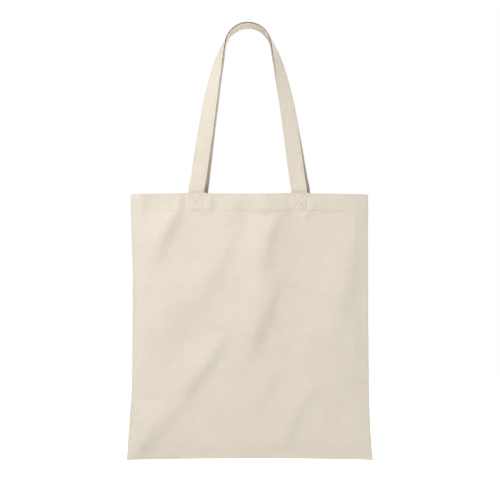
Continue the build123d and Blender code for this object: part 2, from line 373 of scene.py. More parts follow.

# %% [markdown]
# ## Canvas: the material
# Two tones of the same cream are mixed by the uneven yarn, and the flecks are laid over them. A second
# attribute on the meshes goes on top. Above zero, edges that rub go a little paler, and the bottom's
# rolled edge also gets a painted highlight. Below zero it is painted shade in the rows of stitching, in
# the straps' slits and across each strap at the hem, and the panels go darker right by their side seams
# and mouth. The weave goes to the roughness and, through a Bump node, to the normal. What is the same
# all over, such as the soft sheen of cotton fuzz, is set on the shader itself.

# %% Canvas material
canvas_light = (0.835, 0.765, 0.655, 1)
canvas_dark = (0.715, 0.645, 0.54, 1)
fleck_brown = (0.42, 0.30, 0.18, 1)
# rubbed edges go paler towards this cream, and so does the bottom's rolled edge, where it is also a painted
# highlight
rub_and_highlight_cream = (0.86, 0.795, 0.69, 1)
# painted shade darkens towards this tan: in the stitch rows, in the straps' slits and in a line across each
# strap at the hem
painted_shade_tan = (0.38, 0.31, 0.24, 1)
fleck_strength = 0.5
rub_and_highlight_strength = 0.35
painted_shade_strength = 0.5
yarn_pitch = 0.75 * mm
streak_depth = 0.12 * mm
weave_depth = 0.10 * mm
canvas_roughness = (0.95, 0.82)  # between the yarns, and on top of them
canvas_specular = 0.25
fuzz_sheen = 0.12
fuzz_roughness = 0.6


canvas, tree, shader = new_material("unbleached_canvas")
cloth_place = add_attribute(tree, "cloth").outputs["Vector"]
woven = add_node_group(tree, weave, Cloth=cloth_place, Pitch=yarn_pitch)
uneven = add_node_group(tree, slubs, Cloth=cloth_place)
specks = add_node_group(tree, flecks, Cloth=cloth_place)
cream = add_mix(tree, uneven.outputs["Tone"], canvas_dark, canvas_light)
speck_share = add_math(tree, "MULTIPLY", specks.outputs["Mask"], fleck_strength)
specked = add_mix(tree, speck_share, cream, fleck_brown)
# above zero: rub and a painted highlight at the bottom; below zero: painted shade and darker edges
wear_and_light_value = add_attribute(tree, "wear_and_painted_light").outputs["Fac"]
rub_and_highlight_share = add_math(tree, "MAXIMUM", add_math(tree, "MULTIPLY", wear_and_light_value, rub_and_highlight_strength), 0)
painted_shade_share = add_math(tree, "MAXIMUM", add_math(tree, "MULTIPLY", wear_and_light_value, -painted_shade_strength), 0)
rub_and_painted_light = add_mix(tree, rub_and_highlight_share, specked, rub_and_highlight_cream)
tree.links.new(add_mix(tree, painted_shade_share, rub_and_painted_light, painted_shade_tan), shader.inputs["Base Color"])
weave_height = woven.outputs["Height"]
tree.links.new(add_range(tree, weave_height, *canvas_roughness), shader.inputs["Roughness"])
yarn_normal = add_bump(tree, uneven.outputs["Height"], streak_depth)
tree.links.new(add_bump(tree, weave_height, weave_depth, yarn_normal), shader.inputs["Normal"])
shader.inputs["Specular IOR Level"].default_value = canvas_specular
shader.inputs["Sheen Weight"].default_value = fuzz_sheen
shader.inputs["Sheen Roughness"].default_value = fuzz_roughness
print("canvas:", len(tree.nodes), "nodes")

# %% [markdown]
# ## Sewing thread
# The thread is a shade paler than the canvas, and it is twisted from two strands. On each stitch the
# cloth attribute runs along the thread and around it, so slanted stripes are one sine of the two added.
# The colour follows that sine too: the grooves between the strands get a painted shade.

# %% Thread material
thread_light = (0.87, 0.81, 0.715, 1)
thread_groove_shade = (0.74, 0.67, 0.565, 1)
twist_pitch = 0.55 * mm
twist_depth = 0.06 * mm
thread_roughness = (0.85, 0.65)  # between the strands, and on top of them
thread_specular = 0.3

twist, start, end = new_group("thread_twist", [place_input, pitch_input], ["Height"])
split = twist.nodes.new("ShaderNodeSeparateXYZ")
twist.links.new(start.outputs["Cloth"], split.inputs[0])
along = add_math(twist, "DIVIDE", split.outputs["X"], start.outputs["Pitch"])
slant = add_math(twist, "ADD", along, split.outputs["Y"])
ply = add_math(twist, "SINE", add_math(twist, "MULTIPLY", slant, 2 * math.pi))
twist.links.new(add_math(twist, "MULTIPLY_ADD", ply, 0.5, 0.5), end.inputs["Height"])

cotton_thread, tree, shader = new_material("cotton_thread")
thread_place = add_attribute(tree, "cloth").outputs["Vector"]
twisted = add_node_group(tree, twist, Cloth=thread_place, Pitch=twist_pitch)
ply_height = twisted.outputs["Height"]
# darker where the twist is low: painted shade between the strands
tree.links.new(add_mix(tree, ply_height, thread_groove_shade, thread_light), shader.inputs["Base Color"])
tree.links.new(add_range(tree, ply_height, *thread_roughness), shader.inputs["Roughness"])
tree.links.new(add_bump(tree, ply_height, twist_depth), shader.inputs["Normal"])
shader.inputs["Specular IOR Level"].default_value = thread_specular
print("thread:", len(tree.nodes), "nodes")

# %% [markdown]
# ## The bag's plain shape
# Before any fold, a panel is a gently bowed sheet: flat along the side seams, standing out in the
# middle, and flaring at the bottom corners. These few formulas are the same ones that shape the frame's
# solids, with their sizes read from the frame where it holds them. A point on a panel is given by x, and
# by its height up the cloth.

# %% Shape of a panel
hem_thickness = 2.4 * mm
corner_flare = 7 * mm
flare_rise = 75 * mm
foot_belly = 0.5 * mm
belly_rise = 50 * mm

panel_low, panel_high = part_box("front_panel")
bag_height = panel_high.z
mouth_half = panel_high.x - corner_flare
hem_out = hem_thickness - panel_high.y  # from the middle plane to a panel's face, beside the hem
foot_out = 2.05 * mm  # and beside the bottom seam
belly = -panel_low.y - hem_out


def half_width(height):
    return mouth_half + corner_flare * np.exp(-height / flare_rise)


def edge_out(height):
    return foot_out + (hem_out - foot_out) * np.minimum(height / bag_height, 1)


def crown(x, height):
    """How far the middle of the cloth stands out in front of its side edges."""
    bow = foot_belly + (belly - foot_belly) * (1 - np.exp(-height / belly_rise))
    return bow * (1 - np.clip(x / half_width(height), -1, 1) ** 2)


print(f"mouth {2 * mouth_half / mm:.0f} mm wide, bowed {belly / mm:.1f} mm")

# %% [markdown]
# ## Folds
# Hanging from two points, the cloth falls into soft slanting folds. Each one is a ridge with two unlike
# sides: on the left it rises slowly towards the light, on the right it drops steeply and goes grey. A fold
# is written as stations from its top to its bottom, each with a height, the x of the steep side's middle,
# how wide the steep side is and how far the ridge stands out. At its ends the rise is nothing, so the fold
# runs out into the cloth.

# %% Folds of each panel
front_folds = [
    # each station: height, x, width, rise, in millimetres
    [(404, -105, 6, 0), (394, -110, 8, 5.2), (376, -118, 10, 9.0), (352, -131, 11, 9.8),
     (328, -140, 13, 8.4), (300, -144, 15, 4.6), (265, -144, 16, 0)],
    [(320, -116, 15, 0), (285, -120, 17, 4.8), (240, -122, 19, 6.6), (190, -123, 19, 6.0),
     (150, -127, 17, 3.8), (105, -132, 17, 0)],
    [(368, -14, 7, 0), (350, -22, 8, 2.8), (325, -33, 9, 4.6), (300, -46, 12, 5.8), (272, -59, 14, 6.0),
     (245, -76, 16, 4.8), (215, -96, 18, 2.8), (175, -110, 18, 0)],
    [(408, 56, 8, 0), (388, 51, 9, 5.0), (368, 42, 10, 8.8), (345, 34, 11, 10.4), (320, 31, 12, 10.2),
     (298, 29, 12, 8.0), (275, 27, 12, 4.6), (250, 27, 12, 0)],
    [(302, 53, 11, 0), (284, 46, 12, 7.2), (262, 40, 13, 12.0), (240, 33, 14, 13.8), (215, 24, 13, 13.0),
     (193, 17, 12, 10.0), (172, 11, 11, 5.6), (148, 4, 14, 2.4), (115, -7, 14, 0)],
    [(208, -28, 8, 0), (190, -38, 9, 4.8), (165, -53, 10, 8.0), (140, -71, 11, 9.4), (115, -88, 12, 9.6),
     (95, -101, 14, 6.8), (70, -112, 15, 0)],
    [(98, -102, 15, 0), (78, -117, 16, 8.8), (52, -141, 17, 15.5), (30, -159, 16, 15.5),
     (12, -175, 12, 11.0), (0, -183, 10, 7.0)],
    [(124, 113, 7, 0), (108, 102, 8, 3.2), (90, 90, 9, 5.2), (68, 77, 9, 5.4), (45, 69, 9, 4.8),
     (28, 66, 9, 2.8), (10, 66, 9, 0)],
    [(405, 176, 11, 0), (370, 178, 12, 5.0), (325, 172, 13, 8.0), (288, 166, 13, 10.5),
     (252, 161, 13, 11.0), (222, 154, 13, 8.6), (195, 146, 14, 3.4), (165, 140, 14, 0)],
    [(165, 60, 13, 0), (138, 50, 14, 2.2), (110, 36, 14, 2.8), (85, 20, 14, 2.5), (60, 8, 14, 1.2),
     (30, 0, 14, 0)],
    [(240, 176, 16, 0), (200, 172, 18, 5.0), (160, 167, 19, 6.4), (115, 160, 19, 5.0), (70, 153, 18, 0)],
    [(62, -94, 14, 0), (36, -100, 14, 3.0), (14, -107, 12, 3.2), (0, -111, 12, 2.4)],
    # small puckers that the sewing draws into the hem
    [(426, -105, 3.5, 1.6), (418, -106, 3.5, 2.8), (403, -107, 3.5, 3.0), (388, -109, 4, 0)],
    [(426, -58, 4, 2.0), (417, -60, 4, 3.4), (402, -61, 4, 3.6), (386, -64, 4, 0)],
    [(426, -13, 5, 1.4), (410, -15, 5, 1.8), (395, -18, 6, 1.4), (368, -25, 7, 0)],
    [(426, 38, 13, 4.4), (416, 39, 13, 5.4), (402, 43, 12, 5.2), (388, 48, 9, 0)],
    [(406, 29, 4, 0), (396, 26, 5, 2.4), (376, 21, 5, 2.6), (356, 16, 5, 0)],
    [(426, 57, 4, 1.6), (416, 58, 4, 2.8), (402, 60, 4, 3.0), (386, 64, 4, 0)],
    [(414, 95, 3, 0), (404, 95, 3, 2.6), (390, 94, 3, 2.6), (376, 92, 3, 0)],
    [(420, 104, 3.5, 0), (408, 104, 3.5, 2.4), (396, 104, 3.5, 2.2), (380, 101, 3.5, 0)],
    [(426, -165, 8, 5.0), (412, -169, 8, 7.5), (394, -173, 8, 9.0), (378, -176, 8, 7.0),
     (358, -178, 8, 0)],
]
back_folds = [
    [(402, 98, 5, 0), (385, 106, 7, 4.0), (350, 120, 10, 5.4), (310, 128, 13, 3.8), (270, 128, 14, 0)],
    [(400, -62, 6, 0), (380, -66, 8, 5.0), (340, -78, 10, 7.0), (295, -86, 12, 4.8), (255, -88, 13, 0)],
    [(350, 30, 8, 0), (320, 18, 10, 5.4), (270, -6, 12, 7.4), (220, -32, 13, 6.0), (175, -52, 14, 0)],
    [(190, 0, 8, 0), (165, -16, 9, 6.0), (120, -52, 11, 8.0), (75, -86, 13, 6.6), (30, -112, 13, 0)],
    [(180, 132, 8, 0), (150, 116, 9, 5.0), (100, 92, 10, 6.6), (55, 70, 11, 4.8), (15, 58, 11, 0)],
    [(370, 160, 12, 0), (320, 156, 13, 4.8), (250, 150, 13, 5.8), (180, 146, 14, 0)],
]
flank_share = 3.6  # how many times wider the slow side is than the steep one
fold_samples = 61  # points along a fold
fold_easing = 5  # points on each side that smooth a point


def along_fold(heights, values, height):
    """Follow the values of a fold's stations smoothly up the cloth."""
    even = np.linspace(heights[0], heights[-1], fold_samples)
    curve = np.pad(np.interp(even, heights, values), fold_easing, mode="edge")
    window = 2 * fold_easing + 1
    return np.interp(height, even, np.convolve(curve, np.ones(window) / window, mode="valid"))


def fold(x, height, stations):
    """Push of one fold at points of a panel."""
    heights, middles, widths, rises = np.array(stations[::-1]).T * mm
    line = along_fold(heights, middles, height)
    slant = along_fold(heights, np.gradient(middles, heights), height)
    aside = (x - line) / np.sqrt(1 + slant**2)
    width = along_fold(heights, widths, height)
    slow_side = np.exp(-((np.minimum(aside, 0) / (flank_share * width)) ** 2))
    return along_fold(heights, rises, height) * slow_side * 0.5 * (1 - np.tanh(aside / width))


folds = {"front": front_folds, "back": back_folds}
for side, rows in folds.items():
    print(side, "panel:", len(rows), "folds")

# %% [markdown]
# ## Where the sewing is
# The hem has one row of stitches just above its turned edge, and each strap end is sewn on with a square
# and a cross, called a box here. Their places come from the frame. Three small helpers follow that many
# later cells use: the section of a groove, a soft step and smooth random bumps.

# %% Places of the sewing
hem_depth = 30.5 * mm
hem_row_rise = 2.4 * mm  # from the hem's turned edge up to its row of stitches
strap_width = 25 * mm
box_inset = 1.5 * mm
sides = ("front", "back")
hands = ("right", "left")
facing = {"front": -1, "back": 1}  # the sign of y on each side of the bag

hem_bottom = bag_height - hem_depth
hem_row = hem_bottom + hem_row_rise


def node_middle(name):
    low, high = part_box(name)
    return (low + high) / 2


ends = {side: [node_middle(f"{side}_handle_{hand}_end") for hand in hands] for side in sides}
end_low, end_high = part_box("front_handle_right_end")
box_half_width = strap_width / 2 - box_inset
box_low = end_low.z + box_inset
box_high = end_high.z - box_inset


def groove(distance, width):
    return np.exp(-((distance / width) ** 2))


def smooth(value):
    """Ease from 0 to 1."""
    share = np.clip(value, 0, 1)
    return share * share * (3 - 2 * share)


def bumps(x, height, seed, size_x, size_h):
    """Smooth random numbers between about -1 and 1, with bumps of the given width and height."""
    flat_x = np.ravel(x) / size_x
    flat_h = np.ravel(height) / size_h
    values = [noise.noise((a, b, seed)) for a, b in zip(flat_x, flat_h)]
    return np.reshape(values, np.shape(x))


print("boxes at x", [round(middle.x / mm, 1) for side in sides for middle in ends[side]], "mm")

# %% [markdown]
# ## Lines of stitching
# Thread pulls the cloth down, so every row lies in a small groove, and the groove gets a painted shade.
# Both need the distance from a point of the cloth to the nearest line of stitches.

# %% Stitch lines
row_groove = 1.3 * mm
row_groove_share = 0.25  # the hem's row lies less deep than the boxes
box_groove = 0.9 * mm
# painted shade in the grooves of the stitching, strongest where the hem's row passes under a box
row_shade = 0.15
row_shade_width = 1.1 * mm
box_shade = 0.4
box_shade_width = 0.8 * mm
crossing_shade = 0.55
crossing_reach = 18 * mm
shade_patch = (19 * mm, 11 * mm)
shade_seed = 17.0


def box_distance(x, height, middle_x):
    """Distance to the nearest line of a box: its four sides and its cross."""
    right = x - middle_x
    up = height - (box_low + box_high) / 2
    half_high = (box_high - box_low) / 2
    beyond = np.maximum(np.abs(right) - box_half_width, np.abs(up) - half_high)
    slope = np.hypot(box_half_width, half_high)
    crosses = [np.abs(right * half_high - s * up * box_half_width) / slope for s in (1, -1)]
    cross = np.where(beyond < 0, np.minimum(*crosses), np.inf)
    return np.minimum(np.abs(beyond), cross), beyond


def stitch_grooves(side, x, height):
    """1 on the lines of stitching of a panel, 0 away from them."""
    lines = row_groove_share * groove(height - hem_row, row_groove)
    for middle in ends[side]:
        distance = box_distance(x, height, middle.x)[0]
        lines = np.maximum(lines, groove(distance, box_groove))
    return lines


def stitch_painted_shade(side, x, height):
    """Painted shade along the same lines: patchy, and darkest where the hem's row passes under a box."""
    row = groove(height - hem_row, row_shade_width)
    lines = row_shade * row
    for middle in ends[side]:
        distance = box_distance(x, height, middle.x)[0]
        lines = np.maximum(lines, box_shade * groove(distance, box_shade_width))
        under_box = smooth(1 - np.abs(x - middle.x) / crossing_reach)
        lines = np.maximum(lines, crossing_shade * row * under_box)
    return lines * np.clip(0.6 + 0.9 * bumps(x, height, shade_seed, *shade_patch), 0.1, 1)


print(f"grooves reach {row_groove / mm:.1f} mm from the hem's row, {box_groove / mm:.1f} mm in the boxes")

# %% [markdown]
# ## The hem, the boxes and the puckers
# Sewing draws cloth together, so beside a row of stitches the cloth ripples across it. The hem is three
# plies thick, so it stands out a little above its row. Inside the boxes, where the straps are sewn on,
# seven plies are held flat, so the folds die away there.

# %% Sewn relief
hem_swell = 0.25 * mm
hem_swell_rise = 3 * mm
groove_depth = 0.8 * mm
row_pucker = 0.6 * mm
row_pucker_reach = 9 * mm
row_pucker_size = (9 * mm, 60 * mm)
box_pucker = 0.9 * mm
box_pucker_start = 3 * mm
box_pucker_reach = 14 * mm
box_pucker_size = (8 * mm, 45 * mm)
box_swell = 1.7 * mm  # the boxes stand proud of the cloth below them
box_swell_reach = 11 * mm
box_step = 0.5 * mm  # most sharply at their stitched edge
box_step_reach = 2.5 * mm
box_hold = 12 * mm  # the folds come back over this distance from a box
relief_seeds = {"front": 3.0, "back": 8.0}


def sewn_relief(side, x, height):
    """Push of the hem, its row of stitches and the boxes."""
    push = hem_swell * smooth((height - hem_row) / hem_swell_rise)
    push = push - groove_depth * stitch_grooves(side, x, height)
    seed = relief_seeds[side]
    beside = np.exp(-np.abs(height - hem_row) / row_pucker_reach)
    push = push + row_pucker * beside * bumps(x, height, seed, *row_pucker_size)
    for middle in ends[side]:
        beyond = box_distance(x, height, middle.x)[1]
        near = np.exp(-np.maximum(beyond, 0) / box_pucker_reach) * smooth(beyond / box_pucker_start)
        push = push + box_pucker * near * bumps(x, height, seed + 2, *box_pucker_size)
        push = push + box_swell * smooth(1 - beyond / box_swell_reach)
        push = push + box_step * smooth(1 - beyond / box_step_reach)
    return push


def held_flat(side, x, height):
    """1 on free cloth, 0 inside the boxes."""
    free = 1.0
    for middle in ends[side]:
        beyond = box_distance(x, height, middle.x)[1]
        free = free * smooth((beyond + 1 * mm) / box_hold)
    return free


print(f"boxes stand {(box_swell + box_step) / mm:.1f} mm proud of the cloth")

# %% [markdown]
# ## Seam lines
# No seam is ruler straight. The side seams waver a little, the folds draw the left side in, the right
# corner hangs out, and the bottom hangs lowest at its corners. Both panels share these lines, so that
# they meet all the way round.

# %% Seam lines
roll_radius = 2.2 * mm
foot_lift = 2.4 * mm  # the bottom's middle over its corners
foot_power = 3  # higher for a flatter middle
foot_drop = 1.3 * mm  # how far the loaded cloth has stretched
edge_waver = 0.45 * mm  # unevenness of the seam lines
waver_size = (10 * mm, 34 * mm)
waver_seed = 5.0
waver_start = 20 * mm
side_apart = 40 * mm  # keeps the wavers of the two sides unlike
side_draw = 3.2 * mm  # how far the folds draw in the left side
draw_low = 35 * mm  # between these heights
draw_high = 410 * mm
draw_rise = 95 * mm  # growing and dying away over these
draw_fall = 130 * mm
corner_hang = 1.4 * mm  # and how far the right corner hangs out
hang_rise = 28 * mm


def seam_line(x, height):
    """Half width with the small waver of a hand-guided seam, which both panels share."""
    waver = edge_waver * bumps(np.sign(x) * side_apart, height, waver_seed, *waver_size)
    waver = waver * smooth(height / waver_start)
    drawn_in = -side_draw * smooth((height - draw_low) / draw_rise)
    drawn_in = drawn_in * smooth((draw_high - height) / draw_fall)
    hung_out = corner_hang * np.exp(-height / hang_rise)
    return half_width(height) + waver + np.where(x < 0, drawn_in, hung_out)


def roll(inset):
    """0 on a seam line, rounding over to 1 a little way in from it."""
    return np.sqrt(1 - np.clip(1 - inset / roll_radius, 0, 1) ** 2)


def foot_rise(x):
    """How far the bottom seam hangs above its place in the frame."""
    return foot_lift * (1 - np.abs(x / half_width(0.0)) ** foot_power) - foot_drop


print(f"the bottom hangs {foot_lift / mm:.1f} mm lower at its corners than at its middle")

# %% [markdown]
# ## Points of the real cloth
# One function now gives any point of a panel, on its face or some way behind it, where the hem's inner
# plies are. The edges are rolled: along the side seams and the bottom the cloth turns in to meet the
# other panel. The mouth is carried by the straps, so it sags a little between them.

# %% Points of a panel
seam_face = 0.05 * mm  # half the gap between the two panels along a seam
mouth_lift = 1.1 * mm  # the mouth where the straps carry it
lift_width = 38 * mm
strap_lift = 1.1 * mm  # and once more right at the strap
lift_edge = 4 * mm  # from so far past its edges, and below the top of its box
lift_fade = 5 * mm
mouth_sag = 0.5 * mm  # elsewhere it sags
corner_sag = 0.9 * mm  # most of all at its corners
corner_reach = 7 * mm
foot_swell = 2.4 * mm  # the cloth stands out above the plies of the bottom seam
foot_swell_start = 7 * mm
foot_swell_rise = 20 * mm
side_hold = 25 * mm  # no fold right at a side seam
foot_hold = 8 * mm  # nor at the bottom
ripple = 0.3 * mm  # unevenness of the free cloth
ripple_size = (26 * mm, 40 * mm)
small_ripple = 0.4  # share of the same again, in a smaller size
small_ripple_size = (9 * mm, 13 * mm)
ripple_seeds = {"front": 1.0, "back": 6.0}


def free_push(side, x, height):
    """Push of the folds and the small ripples of the free cloth."""
    push = sum(fold(x, height, stations) for stations in folds[side])
    seed = ripple_seeds[side]
    push = push + ripple * bumps(x, height, seed, *ripple_size)
    return push + small_ripple * ripple * bumps(x, height, seed + 0.5, *small_ripple_size)


def panel_point(side, x, height, behind=0.0):
    """Points of a panel: x across, height up the cloth, and so far behind its face."""
    at_edge = roll(half_width(height) - np.abs(x)) * roll(height)
    inward = smooth((half_width(height) - np.abs(x)) / side_hold) * smooth(height / foot_hold)
    push = foot_swell * smooth((height - foot_swell_start) / foot_swell_rise)
    push = push + sewn_relief(side, x, height)
    push = push + held_flat(side, x, height) * free_push(side, x, height)
    stand_off = edge_out(height) - seam_face + crown(x, height) + inward * push
    out = np.maximum(seam_face + at_edge * stand_off - behind, seam_face)
    share = height / bag_height
    lift = mouth_lift * sum(groove(x - middle.x, lift_width) for middle in ends[side])
    reach = strap_width / 2 + lift_edge
    at_straps = sum(smooth((reach - np.abs(x - middle.x)) / lift_fade) for middle in ends[side])
    above = smooth((height - box_high + lift_edge) / lift_fade)
    lift = lift * share**3 + strap_lift * at_straps * above
    sag = mouth_sag + corner_sag * np.exp((np.abs(x) - half_width(height)) / corner_reach)
    z = height + foot_rise(x) * (1 - share) ** 3 + lift - sag * share**3
    wide = x * seam_line(x, height) / half_width(height)
    return np.stack([wide, facing[side] * out, z], axis=-1)


def unit(vectors):
    return vectors / np.linalg.norm(vectors, axis=-1, keepdims=True)


def panel_normal(side, x, height):
    """Directions straight out of a panel's face."""
    step = 0.6 * mm
    across = panel_point(side, x + step, height) - panel_point(side, x - step, height)
    up = panel_point(side, x, height + step) - panel_point(side, x, height - step)
    return unit(np.cross(across, up) * -facing[side])


print("middle of the front at", np.round(panel_point("front", np.array([0.0]), np.array([0.2]))[0] / mm, 1))

# %% [markdown]
# ## From arrays to meshes
# numpy works out all points of a piece at once, and a mesh takes them with a list of faces. These helpers
# make the mesh, store the two attributes that the canvas reads, and list the faces of a grid or a tube.

# %% Mesh helpers
def spaced(low, high, step):
    return np.linspace(low, high, max(2, round(abs(high - low) / step) + 1))


def new_piece(name, points, faces, cloth, wear_and_painted_light, material):
    """A smooth mesh object with its place on the cloth, and its wear and painted light, stored on its
    points.
    """
    mesh = bpy.data.meshes.new(name)
    mesh.from_pydata([tuple(p) for p in points], [], faces)
    mesh.attributes.new("cloth", "FLOAT_VECTOR", "POINT").data.foreach_set("vector", np.ravel(cloth))
    mesh.attributes.new("wear_and_painted_light", "FLOAT", "POINT").data.foreach_set("value", np.ravel(wear_and_painted_light))
    mesh.polygons.foreach_set("use_smooth", [True] * len(mesh.polygons))
    mesh.materials.append(material)
    piece = bpy.data.objects.new(name, mesh)
    bpy.context.scene.collection.objects.link(piece)
    return piece


def grid_faces(rows, columns, flipped=False, closed=False):
    """Quads of a grid of points; closed joins each row's last point to its first."""
    faces = []
    for i in range(rows - 1):
        for j in range(columns if closed else columns - 1):
            k = (j + 1) % columns
            quad = (i * columns + j, i * columns + k, (i + 1) * columns + k, (i + 1) * columns + j)
            faces.append(quad[::-1] if flipped else quad)
    return faces


def tube_faces(rings, count):
    """Quads round a tube made of rings of points, and a cap on each end."""
    caps = [tuple(range(count))[::-1], tuple(range((rings - 1) * count, rings * count))]
    return grid_faces(rings, count, closed=True) + caps


print("a grid of 3 by 4 points has", len(grid_faces(3, 4)), "quads")

# %% [markdown]
# ## The panels as meshes
# A panel is a grid, one ply thick, with a Solidify modifier for the thickness of the canvas. Its rows go
# up the face, over the fold at the mouth, down the inside of the hem and under its turned edge, as the
# cloth itself does. The grid is finer where the sewing is.

# %% Panel meshes
cloth_thickness = 0.8 * mm
tuck_radius = 0.8 * mm  # where the hem's raw edge is turned under
tuck_length = 10 * mm
coarse = 3 * mm
fine = 1 * mm
sewn_reach = 16 * mm  # fine columns this far from the middle of a strap
fine_below = 7 * mm  # fine rows from so far below the hem
# the bottom edge goes paler: rub, and a painted highlight where its roll catches the light
foot_rub_and_highlight = 1.2
foot_rub_and_highlight_rise = 3 * mm
# the cloth goes darker in the last millimetre or so before the side seams and the mouth's fold
edge_darkening = 0.4
edge_darkening_reach = 1.5 * mm


def panel_columns(side):
    """Places across a panel, from -1 to 1 of its flat width, finer round the straps."""
    flat_half = mouth_half - roll_radius
    stops = sorted(middle.x + reach for middle in ends[side] for reach in (-sewn_reach, sewn_reach))
    edges = [-flat_half, *stops, flat_half]
    steps = [coarse, fine, coarse, fine, coarse]
    runs = [spaced(a, b, step)[:-1] for a, b, step in zip(edges, edges[1:], steps)]
    return np.append(np.concatenate(runs), flat_half) / flat_half


def panel_rows():
    """Heights up the cloth and depths behind its face, from the bottom seam to the hidden raw edge."""
    turn = np.linspace(0, math.pi, 8)
    top_radius = hem_thickness / 2
    rise = roll_radius * (1 - np.cos(np.linspace(0, math.pi / 2, 6)))
    face = np.concatenate([rise[:-1], spaced(roll_radius, hem_bottom - fine_below, coarse)[:-1]])
    face = np.append(face, spaced(hem_bottom - fine_below, bag_height - top_radius, fine)[:-1])
    inside = spaced(bag_height - top_radius, hem_bottom + tuck_radius, 2 * mm)[1:-1]
    tuck = spaced(hem_bottom + tuck_radius, hem_bottom + tuck_length, 4 * mm)[1:]
    parts = [
        (face, np.zeros_like(face)),
        (bag_height - top_radius + top_radius * np.sin(turn), top_radius * (1 - np.cos(turn))),
        (inside, np.full_like(inside, hem_thickness)),
        (hem_bottom + tuck_radius * (1 - np.sin(turn)), hem_thickness - tuck_radius * (1 - np.cos(turn))),
        (tuck, np.full_like(tuck, hem_thickness - 2 * tuck_radius)),
    ]
    heights = np.concatenate([part[0] for part in parts])
    behind = np.concatenate([part[1] for part in parts])
    return heights, behind


def make_panel(side):
    heights, behind = panel_rows()
    columns = panel_columns(side)
    quarter = np.cos(np.linspace(0, math.pi / 2, 6)[:-1])
    across = np.concatenate([-1 - quarter, columns, (1 + quarter)[::-1]])
    height, place = np.meshgrid(heights, across, indexing="ij")
    flat_half = half_width(height) - roll_radius
    over = np.maximum(np.abs(place) - 1, 0)
    x = np.sign(place) * (np.minimum(np.abs(place), 1) * flat_half + over * roll_radius)
    deep = np.broadcast_to(behind[:, None], x.shape)
    points = panel_point(side, x, height, deep)
    run = np.append(0, np.cumsum(np.hypot(np.diff(heights), np.diff(behind))))
    cloth = np.stack([x, np.broadcast_to(run[:, None], x.shape), np.zeros_like(x)], axis=-1)
    to_edge = np.minimum(half_width(height) - np.abs(x), np.abs(run - bag_height)[:, None])
    # paler at the bottom edge (rub and painted highlight), darker by the side seams and the mouth's fold
    wear_and_painted_light = foot_rub_and_highlight * np.exp(-height / foot_rub_and_highlight_rise) - edge_darkening * np.exp(-to_edge / edge_darkening_reach)
    # painted shade along the stitch rows, on the face only
    wear_and_painted_light = wear_and_painted_light - stitch_painted_shade(side, x, height) * (deep == 0)
    faces = grid_faces(*x.shape, flipped=side == "back")
    piece = new_piece(f"{side}_panel_cloth", points.reshape(-1, 3), faces, cloth, wear_and_painted_light, canvas)
    thick = piece.modifiers.new("thickness", "SOLIDIFY")
    thick.thickness = cloth_thickness
    thick.offset = -1
    return piece


panels = {side: make_panel(side) for side in sides}
for side, piece in panels.items():
    print(side, "panel:", len(piece.data.polygons), "quads")

# %% [markdown]
# ## Laying out a piece on a panel
# Each mesh is first laid out with its distance in from the side seams as its y, its transform is baked,
# and then it is given its real points back.


def read_points(piece):
    points = np.zeros(len(piece.data.vertices) * 3)
    piece.data.vertices.foreach_get("co", points)
    return points.reshape(-1, 3)


def write_points(piece, points):
    piece.data.vertices.foreach_set("co", np.ravel(points))
    piece.data.update()


def blend_with_panel(piece):
    """Lay a piece out by its distance in from the side seams, bake its transform, and give it its real
    points back.
    """
    points = read_points(piece)
    inset = half_width(points[:, 2]) - np.abs(points[:, 0])
    laid = np.zeros_like(points)
    laid[:, 1] = inset
    write_points(piece, laid)
    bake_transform(piece)
    write_points(piece, points)


for side, piece in panels.items():
    blend_with_panel(piece)
    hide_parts(f"{side}_panel")

# %% [markdown]
# ## One stitch, many times
# A stitch is a short piece of thread that comes out of one needle hole, lies on the cloth and goes down
# the next. It is a small tube with its ends bent under. Rather than copy objects, numpy bends one
# template tube to every pair of holes at once, so a whole row is a single mesh.

# %% Stitches
thread_radius = 0.26 * mm
stitch_rings = 7
stitch_sides = 6
stitch_gap = 0.08  # share of the pitch left open at each end
stitch_sink = 0.45 * mm
stitch_rise = 0.16 * mm
hole_shake = 0.1 * mm
shaky = np.random.default_rng(7)


def stitch_template():
    """Rings of one stitch: its share along, and its height and width in thread radii."""
    share = np.linspace(0, 1, stitch_rings)
    angle = np.linspace(0, 2 * math.pi, stitch_sides, endpoint=False)
    lift = np.sin(math.pi * share) ** 0.5
    girth = thread_radius * (0.8 + 0.2 * lift)
    middle = -stitch_sink + (stitch_sink + stitch_rise) * lift
    share = np.repeat(share, stitch_sides)
    height = np.repeat(middle, stitch_sides) + np.outer(girth, np.cos(angle)).ravel()
    width = np.outer(girth, np.sin(angle)).ravel()
    return share, height, width, np.tile(angle / (2 * math.pi), stitch_rings)


def stitch_row(holes, normals):
    """Points, and places on the thread, of the stitches between one hole and the next."""
    share, height, width, around = stitch_template()
    first, last = holes[:-1], holes[1:]
    run = last - first
    length = np.linalg.norm(run, axis=1, keepdims=True)
    out = unit(normals[:-1] + normals[1:])
    aside = np.cross(run / length, out)
    along = stitch_gap + (1 - 2 * stitch_gap) * share
    points = first[:, None] + run[:, None] * along[None, :, None]
    points = points + out[:, None] * height[None, :, None] + aside[:, None] * width[None, :, None]
    place = np.stack(np.broadcast_arrays(along * length, around, 0.0 * along), axis=-1)
    return points.reshape(-1, 3), place.reshape(-1, 3)


def stitch_piece(name, rows):
    """One mesh of many rows of stitches, each row given as its holes and its normals."""
    made = [stitch_row(holes, normals) for holes, normals in rows]
    points = np.concatenate([row[0] for row in made])
    place = np.concatenate([row[1] for row in made])
    size = stitch_rings * stitch_sides
    single = tube_faces(stitch_rings, stitch_sides)
    faces = [tuple(k + base for k in face) for base in range(0, len(points), size) for face in single]
    return new_piece(name, points, faces, place, np.zeros(len(points)), cotton_thread)


